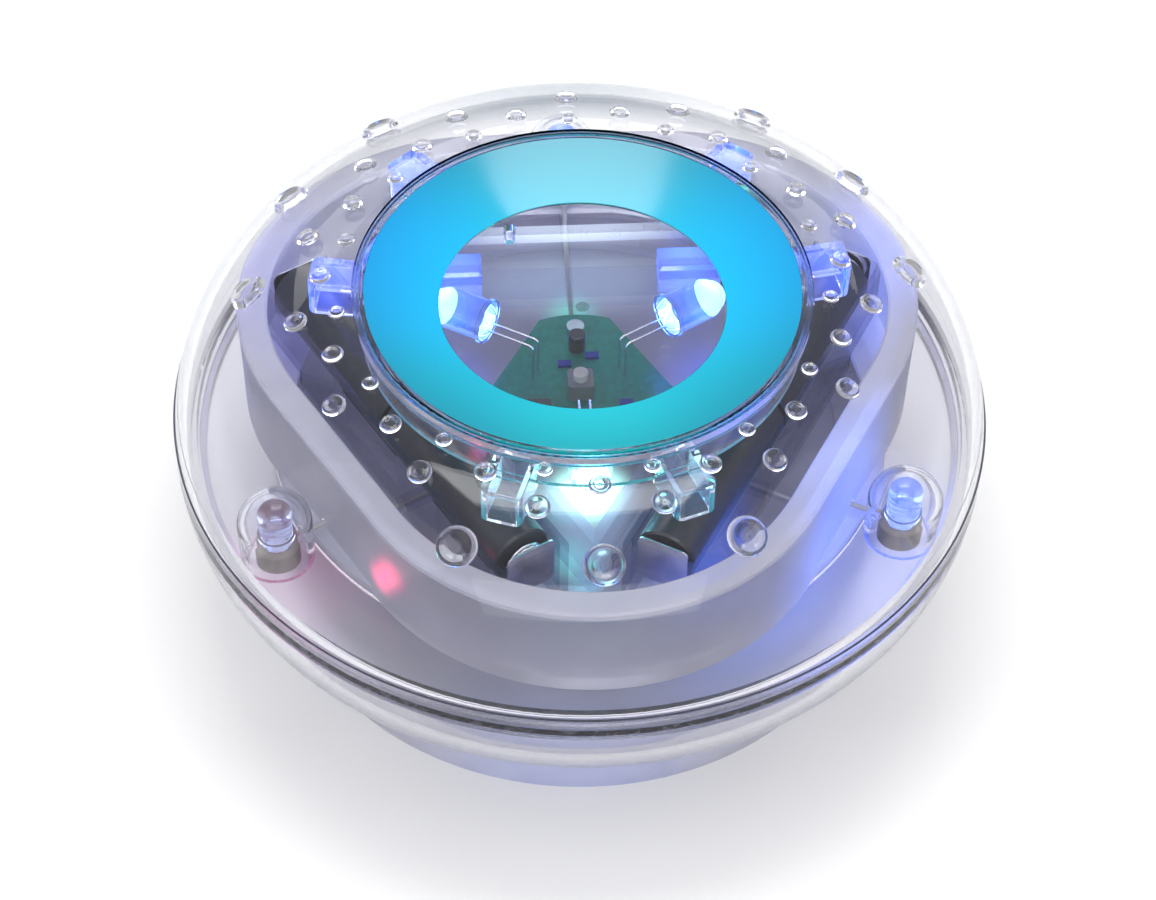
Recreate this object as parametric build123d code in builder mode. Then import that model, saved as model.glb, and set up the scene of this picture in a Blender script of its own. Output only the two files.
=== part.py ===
"""Floating pool light: a clear round float with a press-down top, lamps inside and a battery base.

Millimetres, +Z up. The origin is the centre of the round foot that the light stands on.
The tub inside is a rounded triangle with corners at 30, 150 and 270 degrees, so much repeats
three times.
"""

from build123d import *
import os
from math import cos, radians, sin, tan

os.makedirs("parts", exist_ok=True)

# ---- Driving dimensions -------------------------------------------------------------------
RIM_RADIUS = 95.0             # widest radius, at the seam
SHELL_WALL = 2.8              # dome and bowl wall
SEAM_Z = 50.0                 # bottom face of the dome rim
GASKET_THICK = 0.5
BAND_TOP_Z = 55.2             # top of the upright band around the dome
DOME_RADIUS = 42.2            # round of the dome's section
BOWL_RADIUS = 33.6            # round of the bowl's section
HOLE_RADIUS = 52.3            # opening for the button in the dome

SKIRT_RADIUS = 72.3           # the round skirt that the light stands on
BASE_WALL = 3.0
SKIRT_TOP_Z = 50.0
SEAT_Z = 43.5                 # underside of the seat ring that the battery door closes against
SEAT_THICK = 2.5
SEAT_WIDTH = 12.0             # from the outside of the skirt to the edge of the opening

TUB_CORNER_CENTRE = 25.6      # distance of the tub's corner arcs' centres from the axis
TUB_CORNER_RADIUS = 56.4
TUB_TOP_Z = 73.8
TUB_FLOOR = 2.0
TUB_OPENING = 67.2            # round opening in the tub's floor
RIM_WIDTH = 6.7
RIM_THICK = 1.8

DECK_Z = 48.0                 # underside of the lamp deck around the skirt
DECK_THICK = 2.0
DECK_RADIUS = 89.4
POD_ORBIT = 81.2              # radius on which the three lamp pods stand
POD_RADIUS = 8.2
POD_TOP_CENTRE_Z = 60.9
CORNER_ANGLES = (30, 150, 270)
FLAT_ANGLES = (90, 210, 330)

BUTTON_RADIUS = 50.6
BUTTON_TOP_Z = 92.1
WINDOW_Z = 86.8
WINDOW_RADIUS = 32.8
TAB_ANGLES = (10, 50, 130, 170, 250, 290)

CELL_RADIUS = 7.2             # AA cell
CELL_LENGTH = 49.5
CELL_Z = 63.5
TROUGH_OFFSET = 41.4          # distance of the cells' line from the axis
TROUGH_HALF_LENGTH = 51.6
TROUGH_SETBACK = 8.6          # how far behind the foot of that distance the trough's middle lies
TROUGH_HALF_WIDTH = 7.5
TROUGH_TOP_Z = 67.0
TROUGH_WALL = 1.4
TROUGH_ANGLES = (210, 330)
CONTACT_THICK = 0.4

TRAY_Z = SEAT_Z + SEAT_THICK
TRAY_THICK = 2.0
BOARD_Z = 54.6
BOARD_THICK = 1.6
BOARD_TOP_Z = BOARD_Z + BOARD_THICK
LED_AXIS_Z = 68.0
LED_RADIUS = 4.9
LEAD_GAUGE = 0.3
LEAD_SPACING = 2.54
WIRE_RADIUS = 0.6
WIRE_Z = 47.2                 # where the lamp wires run under the board
WIRE_HOLE_Z = 53.4            # where they pass through the tub's wall

DOOR_THICK = 3.0
DOOR_Z = 40.0
SCREW_ORBIT = 65.6
RUNNING_FIT = 0.1


def skirt_outline(inset):
    """The circle of the skirt, drawn in by the inset."""
    with BuildSketch() as outline:
        Circle(SKIRT_RADIUS - inset)
    return outline.sketch


def tub_outline(inset):
    """The rounded triangle of the tub, drawn in by the inset."""
    with BuildSketch() as outline:
        RegularPolygon(radius=TUB_CORNER_CENTRE, side_count=3, rotation=30)
        offset(amount=TUB_CORNER_RADIUS - inset)
    return outline.sketch


def upright_plane(angle, origin_radius=0.0, z=0.0):
    """A plane whose local X points outwards at the angle and whose local Y points up."""
    outwards = Vector(cos(radians(angle)), sin(radians(angle)), 0)
    across = Vector(sin(radians(angle)), -cos(radians(angle)), 0)
    return Plane(origin=outwards * origin_radius + Vector(0, 0, z), x_dir=outwards, z_dir=across)


def radial_plane(angle, origin_radius, z):
    """A plane that looks outwards at the angle, for pieces that lie on their side."""
    outwards = Vector(cos(radians(angle)), sin(radians(angle)), 0)
    return Plane(origin=outwards * origin_radius + Vector(0, 0, z), x_dir=(0, 0, 1), z_dir=outwards)


def trough_shift(angle):
    """How far the trough's middle lies from the foot of its offset, along the cells."""
    return TROUGH_SETBACK if angle == TROUGH_ANGLES[0] else -TROUGH_SETBACK


def trough_plane(angle, along, z):
    """A plane square to a battery trough: local Z runs along it from the spring end."""
    outwards = Vector(cos(radians(angle)), sin(radians(angle)), 0)
    onwards = Vector(sin(radians(angle)), -cos(radians(angle)), 0)
    origin = outwards * TROUGH_OFFSET + onwards * (along + trough_shift(angle)) + Vector(0, 0, z)
    return Plane(origin=origin, x_dir=outwards, z_dir=onwards)


TRAY_GAP = 0.4
SKIRT_INNER = skirt_outline(BASE_WALL)
TUB_OUTER = tub_outline(0.0)
TUB_INNER = tub_outline(BASE_WALL)

# ---- Upper dome: quarter-round section, upright band, lens bumps --------------------------
DOME_CENTRE = RIM_RADIUS - DOME_RADIUS


def under_dome(orbit, depth):
    """Radius and height of the place a depth under the dome's surface, square to it."""
    share = (orbit - DOME_CENTRE) / DOME_RADIUS
    reach = DOME_RADIUS - depth
    return DOME_CENTRE + reach * share, SEAM_Z + reach * (1 - share**2)**0.5


# rings of small lens drops: orbit, sphere radius, first angle
SMALL_DROPS = ((55.9, 2.7, 90), (59.5, 3.5, 102), (65.2, 3.9, 90))
SMALL_DROP_COUNT = 15
LARGE_DROP_ORBIT = 76.2
LARGE_DROP_RADIUS = 6.4
LARGE_DROP_TURN = 24
DROP_SINK = 0.7               # share of a drop's radius that its centre lies under the surface

with BuildPart() as upper_dome:
    with BuildSketch(Plane.XZ) as dome_section:
        with Locations((DOME_CENTRE, SEAM_Z)):
            Circle(DOME_RADIUS)
            Circle(DOME_RADIUS - SHELL_WALL, mode=Mode.SUBTRACT)
            Rectangle(DOME_RADIUS, DOME_RADIUS, align=Align.MIN, mode=Mode.INTERSECT)
        with Locations((HOLE_RADIUS, SEAM_Z + DOME_RADIUS)):
            Rectangle(DOME_CENTRE - HOLE_RADIUS + 0.5, SHELL_WALL, align=(Align.MIN, Align.MAX))
        with Locations((RIM_RADIUS, SEAM_Z)):
            Rectangle(SHELL_WALL, BAND_TOP_Z - SEAM_Z, align=(Align.MAX, Align.MIN))
    revolve(axis=Axis.Z)
    for orbit, drop_radius, first_angle in SMALL_DROPS:
        centre_radius, centre_z = under_dome(orbit, DROP_SINK * drop_radius)
        with Locations((0, 0, centre_z)):
            with PolarLocations(centre_radius, SMALL_DROP_COUNT, start_angle=first_angle):
                Sphere(drop_radius)
    centre_radius, centre_z = under_dome(LARGE_DROP_ORBIT, DROP_SINK * LARGE_DROP_RADIUS)
    for turn in (-LARGE_DROP_TURN, 0, LARGE_DROP_TURN):
        with Locations((0, 0, centre_z)):
            with PolarLocations(centre_radius, 3, start_angle=CORNER_ANGLES[0] + turn):
                Sphere(LARGE_DROP_RADIUS)
    with BuildSketch(Plane.XZ) as dome_hollow:
        with Locations((DOME_CENTRE, SEAM_Z)):
            Circle(DOME_RADIUS - SHELL_WALL)
            Rectangle(DOME_RADIUS, DOME_RADIUS, align=Align.MIN, mode=Mode.INTERSECT)
    revolve(axis=Axis.Z, mode=Mode.SUBTRACT)
upper_dome.part.label = "upper_dome"
export_step(upper_dome.part, "parts/upper_dome.step")

# ---- Seam gasket --------------------------------------------------------------------------
with BuildPart() as seam_gasket:
    with BuildSketch(Plane.XY.offset(SEAM_Z - GASKET_THICK)):
        Circle(RIM_RADIUS - 0.2)
        Circle(RIM_RADIUS - SHELL_WALL, mode=Mode.SUBTRACT)
    extrude(amount=GASKET_THICK)
seam_gasket.part.label = "seam_gasket"
export_step(seam_gasket.part, "parts/seam_gasket.step")

# ---- Lower bowl: quarter-round section cut to the skirt, with a spigot and a deck ledge ---
BOWL_CENTRE = RIM_RADIUS - BOWL_RADIUS
BOWL_TOP_Z = SEAM_Z - GASKET_THICK
SPIGOT_RADIUS = RIM_RADIUS - SHELL_WALL - 0.4
SPIGOT_WALL = 2.0
SPIGOT_HEIGHT = 4.0
SPIGOT_FOOT = 3.0             # how far the spigot's foot reaches down inside the bowl
LEDGE_WIDTH = 1.8
LEDGE_HEIGHT = 2.0

with BuildPart() as lower_bowl:
    with BuildSketch(Plane.XZ) as bowl_section:
        with Locations((BOWL_CENTRE, BOWL_TOP_Z)):
            Circle(BOWL_RADIUS)
            Circle(BOWL_RADIUS - SHELL_WALL, mode=Mode.SUBTRACT)
            Rectangle(BOWL_RADIUS, BOWL_RADIUS, align=(Align.MIN, Align.MAX), mode=Mode.INTERSECT)
        with Locations((SPIGOT_RADIUS, BOWL_TOP_Z + SPIGOT_HEIGHT)):
            Rectangle(SPIGOT_WALL, SPIGOT_HEIGHT + SPIGOT_FOOT, align=Align.MAX)
        with Locations((SPIGOT_RADIUS - SPIGOT_WALL, BOWL_TOP_Z)):
            Rectangle(SPIGOT_WALL + 1.2, SPIGOT_FOOT, align=(Align.MIN, Align.MAX))
        with Locations((SPIGOT_RADIUS - SPIGOT_WALL, DECK_Z)):
            Rectangle(LEDGE_WIDTH, LEDGE_HEIGHT, align=(Align.MAX, Align.MAX))
            Rectangle(SPIGOT_WALL, LEDGE_HEIGHT, align=(Align.MIN, Align.MAX))
    revolve(axis=Axis.Z)
    with BuildSketch():
        Circle(SKIRT_RADIUS)
    extrude(amount=SKIRT_TOP_Z, mode=Mode.SUBTRACT)
lower_bowl.part.label = "lower_bowl"
export_step(lower_bowl.part, "parts/lower_bowl.step")

# ---- Base skirt: the round foot -----------------------------------------------------------
with BuildPart() as base_skirt:
    with BuildSketch():
        Circle(SKIRT_RADIUS)
        add(SKIRT_INNER, mode=Mode.SUBTRACT)
    extrude(amount=SKIRT_TOP_Z)
base_skirt.part.label = "base_skirt"
export_step(base_skirt.part, "parts/base_skirt.step")

# ---- Door seat: ring welded inside the skirt, with the door opening and the screw bosses --
BOSS_RADIUS = 3.2
BOSS_HEIGHT = 6.4
BOSS_ROOF = 1.0
INSERT_RADIUS = 2.3
SCREW_RADIUS = 1.5

with BuildPart() as door_seat:
    with BuildSketch(Plane.XY.offset(SEAT_Z)):
        add(SKIRT_INNER)
        Circle(SKIRT_RADIUS - SEAT_WIDTH, mode=Mode.SUBTRACT)
    extrude(amount=SEAT_THICK)
    with BuildSketch(Plane.XY.offset(SEAT_Z)):
        with PolarLocations(SCREW_ORBIT, 3, start_angle=30):
            Circle(BOSS_RADIUS)
    extrude(amount=BOSS_HEIGHT)
    with BuildSketch(Plane.XY.offset(SEAT_Z)):
        with PolarLocations(SCREW_ORBIT, 3, start_angle=30):
            Circle(INSERT_RADIUS)
    extrude(amount=BOSS_HEIGHT - BOSS_ROOF, mode=Mode.SUBTRACT)
door_seat.part.label = "door_seat"
export_step(door_seat.part, "parts/door_seat.step")

# ---- Battery tub: rounded-triangle wall and floor on the skirt, with the wire holes -------
WIRE_HOLE_RADIUS = 1.2
WIRE_HOLE_START = 60.0

with BuildPart() as battery_tub:
    with BuildSketch(Plane.XY.offset(SKIRT_TOP_Z)):
        add(TUB_OUTER)
        Circle(SKIRT_RADIUS)
        Circle(TUB_OPENING, mode=Mode.SUBTRACT)
    extrude(amount=TUB_FLOOR)
    with BuildSketch(Plane.XY.offset(SKIRT_TOP_Z)):
        add(TUB_OUTER)
        add(TUB_INNER, mode=Mode.SUBTRACT)
    extrude(amount=TUB_TOP_Z - SKIRT_TOP_Z)
    for angle in FLAT_ANGLES:
        with BuildSketch(radial_plane(angle, WIRE_HOLE_START, WIRE_HOLE_Z)):
            Circle(WIRE_HOLE_RADIUS)
        extrude(amount=POD_ORBIT - WIRE_HOLE_START, mode=Mode.SUBTRACT)
battery_tub.part.label = "battery_tub"
export_step(battery_tub.part, "parts/battery_tub.step")

# ---- Rim cap on top of the tub ------------------------------------------------------------
with BuildPart() as tub_rim:
    with BuildSketch(Plane.XY.offset(TUB_TOP_Z)):
        add(TUB_OUTER)
        add(tub_outline(RIM_WIDTH), mode=Mode.SUBTRACT)
    extrude(amount=RIM_THICK)
    chamfer(tub_rim.edges().group_by(Axis.Z)[-1], length=0.5)
tub_rim.part.label = "tub_rim"
export_step(tub_rim.part, "parts/tub_rim.step")

# ---- Screw inserts ------------------------------------------------------------------------
with BuildPart() as screw_inserts:
    with BuildSketch(Plane.XY.offset(SEAT_Z + 0.3)):
        with PolarLocations(SCREW_ORBIT, 3, start_angle=30):
            Circle(INSERT_RADIUS)
            Circle(SCREW_RADIUS + RUNNING_FIT, mode=Mode.SUBTRACT)
    extrude(amount=BOSS_HEIGHT - BOSS_ROOF - 0.3)
screw_inserts.part.label = "screw_inserts"
export_step(screw_inserts.part, "parts/screw_inserts.step")

# ---- Lamp deck: the flat ring around the skirt that carries the three wall lamps ----------
with BuildPart() as lamp_deck:
    with BuildSketch(Plane.XY.offset(DECK_Z)):
        Circle(DECK_RADIUS)
        Circle(SKIRT_RADIUS + 0.3, mode=Mode.SUBTRACT)
    extrude(amount=DECK_THICK)
lamp_deck.part.label = "lamp_deck"
export_step(lamp_deck.part, "parts/lamp_deck.step")

# ---- Three wall lamps: bell pod, LED, its legs, its holder and its wire -------------------
DECK_TOP_Z = DECK_Z + DECK_THICK
POD_FOOT_RADIUS = 8.2
POD_WALL = 1.4
WIRE_NOTCH_WIDTH = 2.0
WIRE_NOTCH_HEIGHT = 4.6
HOLDER_RADIUS = 5.0
HOLDER_HEIGHT = 5.5
POD_LED_RADIUS = 3.8
POD_LED_BASE_Z = 56.6
POD_LED_TOP_Z = 67.0
WIRE_DROP = 62.5              # where a wire turns down inside the tub
WIRE_RISE = 24.8              # where it turns up to the board

for number, angle in enumerate(FLAT_ANGLES, start=1):
    spot = (POD_ORBIT * cos(radians(angle)), POD_ORBIT * sin(radians(angle)))

    with BuildPart() as lamp_pod:
        with BuildSketch(upright_plane(angle, POD_ORBIT)):
            with BuildLine():
                Line((0, DECK_TOP_Z), (POD_FOOT_RADIUS, DECK_TOP_Z))
                Line((POD_FOOT_RADIUS, DECK_TOP_Z), (POD_RADIUS, POD_TOP_CENTRE_Z))
                RadiusArc((POD_RADIUS, POD_TOP_CENTRE_Z), (0, POD_TOP_CENTRE_Z + POD_RADIUS), -POD_RADIUS)
                Line((0, POD_TOP_CENTRE_Z + POD_RADIUS), (0, DECK_TOP_Z))
            make_face()
        revolve(axis=Axis((*spot, 0), (0, 0, 1)))
        offset(amount=-POD_WALL, openings=lamp_pod.faces().sort_by(Axis.Z)[0])
        with BuildSketch(upright_plane(angle, POD_ORBIT)):
            with Locations((0, DECK_TOP_Z)):
                Rectangle(POD_FOOT_RADIUS + 1.0, WIRE_NOTCH_HEIGHT, align=(Align.MAX, Align.MIN))
        extrude(amount=WIRE_NOTCH_WIDTH / 2, both=True, mode=Mode.SUBTRACT)
    lamp_pod.part.label = f"lamp_pod_{number}"
    export_step(lamp_pod.part, f"parts/lamp_pod_{number}.step")

    with BuildPart() as pod_holder:
        with BuildSketch(Plane.XY.offset(DECK_TOP_Z)):
            with Locations(spot):
                Circle(HOLDER_RADIUS)
        extrude(amount=HOLDER_HEIGHT)
        fillet(pod_holder.edges().group_by(Axis.Z)[-1], radius=1.0)
    pod_holder.part.label = f"pod_holder_{number}"
    export_step(pod_holder.part, f"parts/pod_holder_{number}.step")

    with BuildPart() as pod_led:
        with BuildSketch(Plane.XY.offset(POD_LED_BASE_Z)):
            with Locations(spot):
                Circle(POD_LED_RADIUS)
        extrude(amount=POD_LED_TOP_Z - POD_LED_BASE_Z)
        fillet(pod_led.edges().group_by(Axis.Z)[-1], radius=POD_LED_RADIUS - 0.1)
        with BuildSketch(Plane.XY.offset(POD_LED_BASE_Z)):
            with Locations(spot):
                Circle(POD_LED_RADIUS + 0.5)
        extrude(amount=1.2)
    pod_led.part.label = f"pod_led_{number}"
    export_step(pod_led.part, f"parts/pod_led_{number}.step")

    with BuildPart() as pod_legs:
        with BuildSketch(Plane.XY.offset(DECK_TOP_Z + HOLDER_HEIGHT)):
            with Locations(spot):
                with GridLocations(LEAD_SPACING, 0, 2, 1):
                    Circle(LEAD_GAUGE)
        extrude(amount=POD_LED_BASE_Z - DECK_TOP_Z - HOLDER_HEIGHT)
    pod_legs.part.label = f"pod_legs_{number}"
    export_step(pod_legs.part, f"parts/pod_legs_{number}.step")

    with BuildPart() as pod_wire:
        with BuildLine(upright_plane(angle)) as wire_route:
            FilletPolyline(
                (POD_ORBIT - HOLDER_RADIUS - 0.1, WIRE_HOLE_Z),
                (WIRE_DROP, WIRE_HOLE_Z),
                (WIRE_DROP - 2.0, WIRE_Z),
                (WIRE_RISE + 3.7, WIRE_Z),
                (WIRE_RISE, WIRE_Z + 3.3),
                (WIRE_RISE, BOARD_Z - 0.1),
                radius=1.5,
            )
        wire_start = Plane(origin=wire_route.line @ 0, z_dir=wire_route.line % 0)
        with BuildSketch(wire_start):
            Circle(WIRE_RADIUS)
        sweep(path=wire_route.line)
    pod_wire.part.label = f"pod_wire_{number}"
    export_step(pod_wire.part, f"parts/pod_wire_{number}.step")

# ---- Button cap: dished clear disc with a skirt and six holding tabs ----------------------
TAB_WIDTH = 9.4
TAB_ROUND = 1.8
TAB_REACH = 62.4
TAB_TOP_Z = 87.6
TAB_HEIGHT = 8.6
TAB_WALL = 1.5
CAP_WALL = 1.6
CAP_FOOT_Z = 80.5
CAP_SHOULDER_Z = 88.4
WINDOW_THICK = 2.4
RING_THICK = 1.2
PEG_SPOT = (-15.4, 26.2)      # small moulded peg under the window
PEG_RADIUS = 1.4
PEG_DROP = 4.0

with BuildPart() as button_cap:
    with BuildSketch(Plane.XZ):
        with BuildLine():
            Polyline(
                (0, WINDOW_Z),
                (WINDOW_RADIUS - 0.1, WINDOW_Z),
                (WINDOW_RADIUS + 0.1, WINDOW_Z - RING_THICK),
                (BUTTON_RADIUS - 1.2, BUTTON_TOP_Z - RING_THICK - 0.2),
                (BUTTON_RADIUS - 1.0, BUTTON_TOP_Z),
                (BUTTON_RADIUS, BUTTON_TOP_Z),
                (BUTTON_RADIUS, CAP_FOOT_Z),
                (BUTTON_RADIUS - CAP_WALL, CAP_FOOT_Z),
                (BUTTON_RADIUS - CAP_WALL, CAP_SHOULDER_Z),
                (WINDOW_RADIUS + 2.8, WINDOW_Z - WINDOW_THICK),
                (0, WINDOW_Z - WINDOW_THICK),
                close=True,
            )
        make_face()
    revolve(axis=Axis.Z)
    for angle in TAB_ANGLES:
        with BuildSketch(Plane.XY.offset(TAB_TOP_Z - TAB_HEIGHT).rotated((0, 0, angle))) as tab_plan:
            with Locations((TAB_REACH, 0)):
                Rectangle(TAB_REACH - BUTTON_RADIUS + 1.0, TAB_WIDTH, align=(Align.MAX, Align.CENTER))
            fillet(tab_plan.vertices().group_by(Axis.X)[-1], radius=TAB_ROUND)
        extrude(amount=TAB_HEIGHT)
        with BuildSketch(Plane.XY.offset(TAB_TOP_Z - TAB_HEIGHT).rotated((0, 0, angle))) as tab_hollow:
            with Locations((TAB_REACH - TAB_WALL, 0)):
                Rectangle(
                    TAB_REACH - BUTTON_RADIUS - TAB_WALL,
                    TAB_WIDTH - 2 * TAB_WALL,
                    align=(Align.MAX, Align.CENTER),
                )
            fillet(tab_hollow.vertices().group_by(Axis.X)[-1], radius=TAB_ROUND - TAB_WALL)
        extrude(amount=TAB_HEIGHT - TAB_WALL, mode=Mode.SUBTRACT)
    with BuildSketch(Plane.XY.offset(WINDOW_Z - WINDOW_THICK)):
        with Locations(PEG_SPOT):
            Circle(PEG_RADIUS)
    extrude(amount=-PEG_DROP)
button_cap.part.label = "button_cap"
export_step(button_cap.part, "parts/button_cap.step")

# ---- Coloured ring laid in the cap --------------------------------------------------------
with BuildPart() as button_ring:
    with BuildSketch(Plane.XZ):
        with BuildLine():
            Polyline(
                (WINDOW_RADIUS + 0.1, WINDOW_Z - RING_THICK),
                (BUTTON_RADIUS - 1.2, BUTTON_TOP_Z - RING_THICK - 0.2),
                (BUTTON_RADIUS - 1.1, BUTTON_TOP_Z - 0.2),
                (WINDOW_RADIUS, WINDOW_Z + 0.05),
                close=True,
            )
        make_face()
    revolve(axis=Axis.Z)
button_ring.part.label = "button_ring"
export_step(button_ring.part, "parts/button_ring.step")

# ---- Rolling seal between the cap and the dome --------------------------------------------
SEAL_INNER = BUTTON_RADIUS + 0.2
SEAL_OUTER = HOLE_RADIUS - 0.2
SEAL_TOP_Z = 91.6

with BuildPart() as button_seal:
    with BuildSketch(Plane.XZ):
        with Locations((SEAL_INNER, SEAL_TOP_Z)):
            Rectangle(0.4, 3.0, align=(Align.MIN, Align.MAX))
        with Locations((SEAL_OUTER, SEAL_TOP_Z)):
            Rectangle(0.4, 3.0, align=(Align.MAX, Align.MAX))
        with Locations((SEAL_INNER, SEAL_TOP_Z - 3.0)):
            Rectangle(SEAL_OUTER - SEAL_INNER, 0.4, align=(Align.MIN, Align.MAX))
    revolve(axis=Axis.Z)
button_seal.part.label = "button_seal"
export_step(button_seal.part, "parts/button_seal.step")

# ---- Push switch on the board, and the post that works it ---------------------------------
SWITCH_SIZE = 6.0
SWITCH_TOP_Z = BOARD_TOP_Z + 4.6
PLUNGER_RADIUS = 1.75
PLUNGER_TOP_Z = 63.0
PLUNGER_FOOT_Z = 59.2
SWITCH_FLOOR_Z = 57.0
PUSHER_RADIUS = 1.6
PUSHER_FOOT_Z = PLUNGER_TOP_Z + 0.2

with BuildPart() as switch_pusher:
    with BuildSketch(Plane.XY.offset(PUSHER_FOOT_Z)):
        Circle(PUSHER_RADIUS)
    extrude(amount=WINDOW_Z - WINDOW_THICK - PUSHER_FOOT_Z)
switch_pusher.part.label = "switch_pusher"
export_step(switch_pusher.part, "parts/switch_pusher.step")

with BuildPart() as switch_body:
    with BuildSketch(Plane.XY.offset(BOARD_TOP_Z)):
        RectangleRounded(SWITCH_SIZE, SWITCH_SIZE, 0.8)
    extrude(amount=SWITCH_TOP_Z - BOARD_TOP_Z)
    with BuildSketch(Plane.XY.offset(SWITCH_FLOOR_Z)):
        Circle(PLUNGER_RADIUS + RUNNING_FIT)
    extrude(amount=SWITCH_TOP_Z - SWITCH_FLOOR_Z, mode=Mode.SUBTRACT)
switch_body.part.label = "switch_body"
export_step(switch_body.part, "parts/switch_body.step")

with BuildPart() as switch_plunger:
    with BuildSketch(Plane.XY.offset(PLUNGER_FOOT_Z)):
        Circle(PLUNGER_RADIUS)
    extrude(amount=PLUNGER_TOP_Z - PLUNGER_FOOT_Z)
    chamfer(switch_plunger.edges().group_by(Axis.Z)[-1], length=0.3)
switch_plunger.part.label = "switch_plunger"
export_step(switch_plunger.part, "parts/switch_plunger.step")

SPRING_WIRE = 0.15
with BuildPart() as switch_spring:
    with BuildLine(Plane.XY.offset(SWITCH_FLOOR_Z + 0.2)) as spring_coil:
        Helix(pitch=0.6, height=1.8, radius=1.2)
    with BuildSketch(Plane(origin=spring_coil.line @ 0, z_dir=spring_coil.line % 0)):
        Circle(SPRING_WIRE)
    sweep(path=spring_coil.line)
switch_spring.part.label = "switch_spring"
export_step(switch_spring.part, "parts/switch_spring.step")

# ---- Circuit board, its screws and its parts ----------------------------------------------
BOARD_REACH = 25.0
BOARD_FLAT = 19.0
POST_ORBIT = 20.0
POST_RADIUS = 2.6
SCREW_HEAD_RADIUS = 2.1
SCREW_SHANK_RADIUS = 1.0
SCREW_DEPTH = 4.0
CHIP_SPOT = (-10.2, -6.2)
RESISTOR_SPOTS = ((-3.2, 8.6), (3.4, 11.0), (9.5, -8.0), (10.5, -4.5))
CAPACITOR_SPOT = (0, 14.0)

with BuildPart() as main_board:
    with BuildSketch(Plane.XY.offset(BOARD_Z)):
        RegularPolygon(radius=BOARD_FLAT * 2, side_count=3, rotation=90)
        Circle(BOARD_REACH, mode=Mode.INTERSECT)
        with PolarLocations(POST_ORBIT, 3, start_angle=90):
            Circle(SCREW_SHANK_RADIUS + 0.2, mode=Mode.SUBTRACT)
    extrude(amount=BOARD_THICK)
main_board.part.label = "main_board"
export_step(main_board.part, "parts/main_board.step")

with BuildPart() as board_screws:
    with BuildSketch(Plane.XY.offset(BOARD_TOP_Z)):
        with PolarLocations(POST_ORBIT, 3, start_angle=90):
            Circle(SCREW_HEAD_RADIUS)
    extrude(amount=1.4)
    with BuildSketch(Plane.XY.offset(BOARD_Z - SCREW_DEPTH)):
        with PolarLocations(POST_ORBIT, 3, start_angle=90):
            Circle(SCREW_SHANK_RADIUS)
    extrude(amount=BOARD_THICK + SCREW_DEPTH)
board_screws.part.label = "board_screws"
export_step(board_screws.part, "parts/board_screws.step")

with BuildPart() as control_chip:
    with BuildSketch(Plane.XY.offset(BOARD_TOP_Z + 0.2)):
        with Locations(CHIP_SPOT):
            RectangleRounded(6.2, 5.0, 0.3)
    extrude(amount=1.6)
    with BuildSketch(Plane.XY.offset(BOARD_TOP_Z)):
        with Locations(CHIP_SPOT):
            with GridLocations(1.27, 6.4, 4, 2):
                Rectangle(0.45, 1.9)
    extrude(amount=0.3)
control_chip.part.label = "control_chip"
export_step(control_chip.part, "parts/control_chip.step")

with BuildPart() as resistors:
    with BuildSketch(Plane.XY.offset(BOARD_TOP_Z)):
        with Locations(*RESISTOR_SPOTS):
            Rectangle(3.2, 1.8)
    extrude(amount=0.8)
resistors.part.label = "resistors"
export_step(resistors.part, "parts/resistors.step")

with BuildPart() as storage_capacitor:
    with BuildSketch(Plane.XY.offset(BOARD_TOP_Z)):
        with Locations(CAPACITOR_SPOT):
            Circle(2.0)
    extrude(amount=5.0)
    fillet(storage_capacitor.edges().group_by(Axis.Z)[-1], radius=0.5)
storage_capacitor.part.label = "storage_capacitor"
export_step(storage_capacitor.part, "parts/storage_capacitor.step")

# ---- Three lamps that lie flat around the board and point to the corners ------------------
LED_BASE = 24.0
LED_TIP = 39.0
LEG_RISE = 1.5                # how far the legs leave the lamp below its axis
PAD_ORBIT = 11.8

for number, angle in enumerate(CORNER_ANGLES, start=1):
    with BuildPart() as board_led:
        with BuildSketch(radial_plane(angle, LED_BASE, LED_AXIS_Z)):
            Circle(LED_RADIUS)
        extrude(amount=LED_TIP - LED_BASE)
        with Locations(radial_plane(angle, LED_TIP - LED_RADIUS, LED_AXIS_Z)):
            Cylinder(
                LED_RADIUS + 1.0,
                LED_RADIUS + 1.0,
                align=(Align.CENTER, Align.CENTER, Align.MIN),
                mode=Mode.SUBTRACT,
            )
            Sphere(LED_RADIUS)
        with BuildSketch(radial_plane(angle, LED_BASE, LED_AXIS_Z)):
            Circle(LED_RADIUS + 0.5)
        extrude(amount=1.2)
    board_led.part.label = f"board_led_{number}"
    export_step(board_led.part, f"parts/board_led_{number}.step")

    with BuildPart() as board_led_legs:
        for side in (-1, 1):
            leg_plane = upright_plane(angle)
            leg_plane = leg_plane.offset(side * LEAD_SPACING / 2)
            with BuildLine(leg_plane) as leg_route:
                FilletPolyline(
                    (LED_BASE, LED_AXIS_Z - LEG_RISE),
                    (PAD_ORBIT, LED_AXIS_Z - LEG_RISE),
                    (PAD_ORBIT, BOARD_TOP_Z),
                    radius=1.2,
                )
            with BuildSketch(Plane(origin=leg_route.line @ 0, z_dir=leg_route.line % 0)):
                Circle(LEAD_GAUGE)
            sweep(path=leg_route.line)
    board_led_legs.part.label = f"board_led_legs_{number}"
    export_step(board_led_legs.part, f"parts/board_led_legs_{number}.step")

# ---- Battery tray: floor, two troughs open below, posts for the board ---------------------
WIRE_SLOT = 1.8
WIRE_BRIDGE = 4.0             # strip of floor left across a trough to carry a lamp wire
BOSS_CLEARANCE = 3.8
PILOT_RADIUS = 1.0
TRAY_TOP_Z = TRAY_Z + TRAY_THICK
TUB_FLOOR_TOP_Z = SKIRT_TOP_Z + TUB_FLOOR

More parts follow.
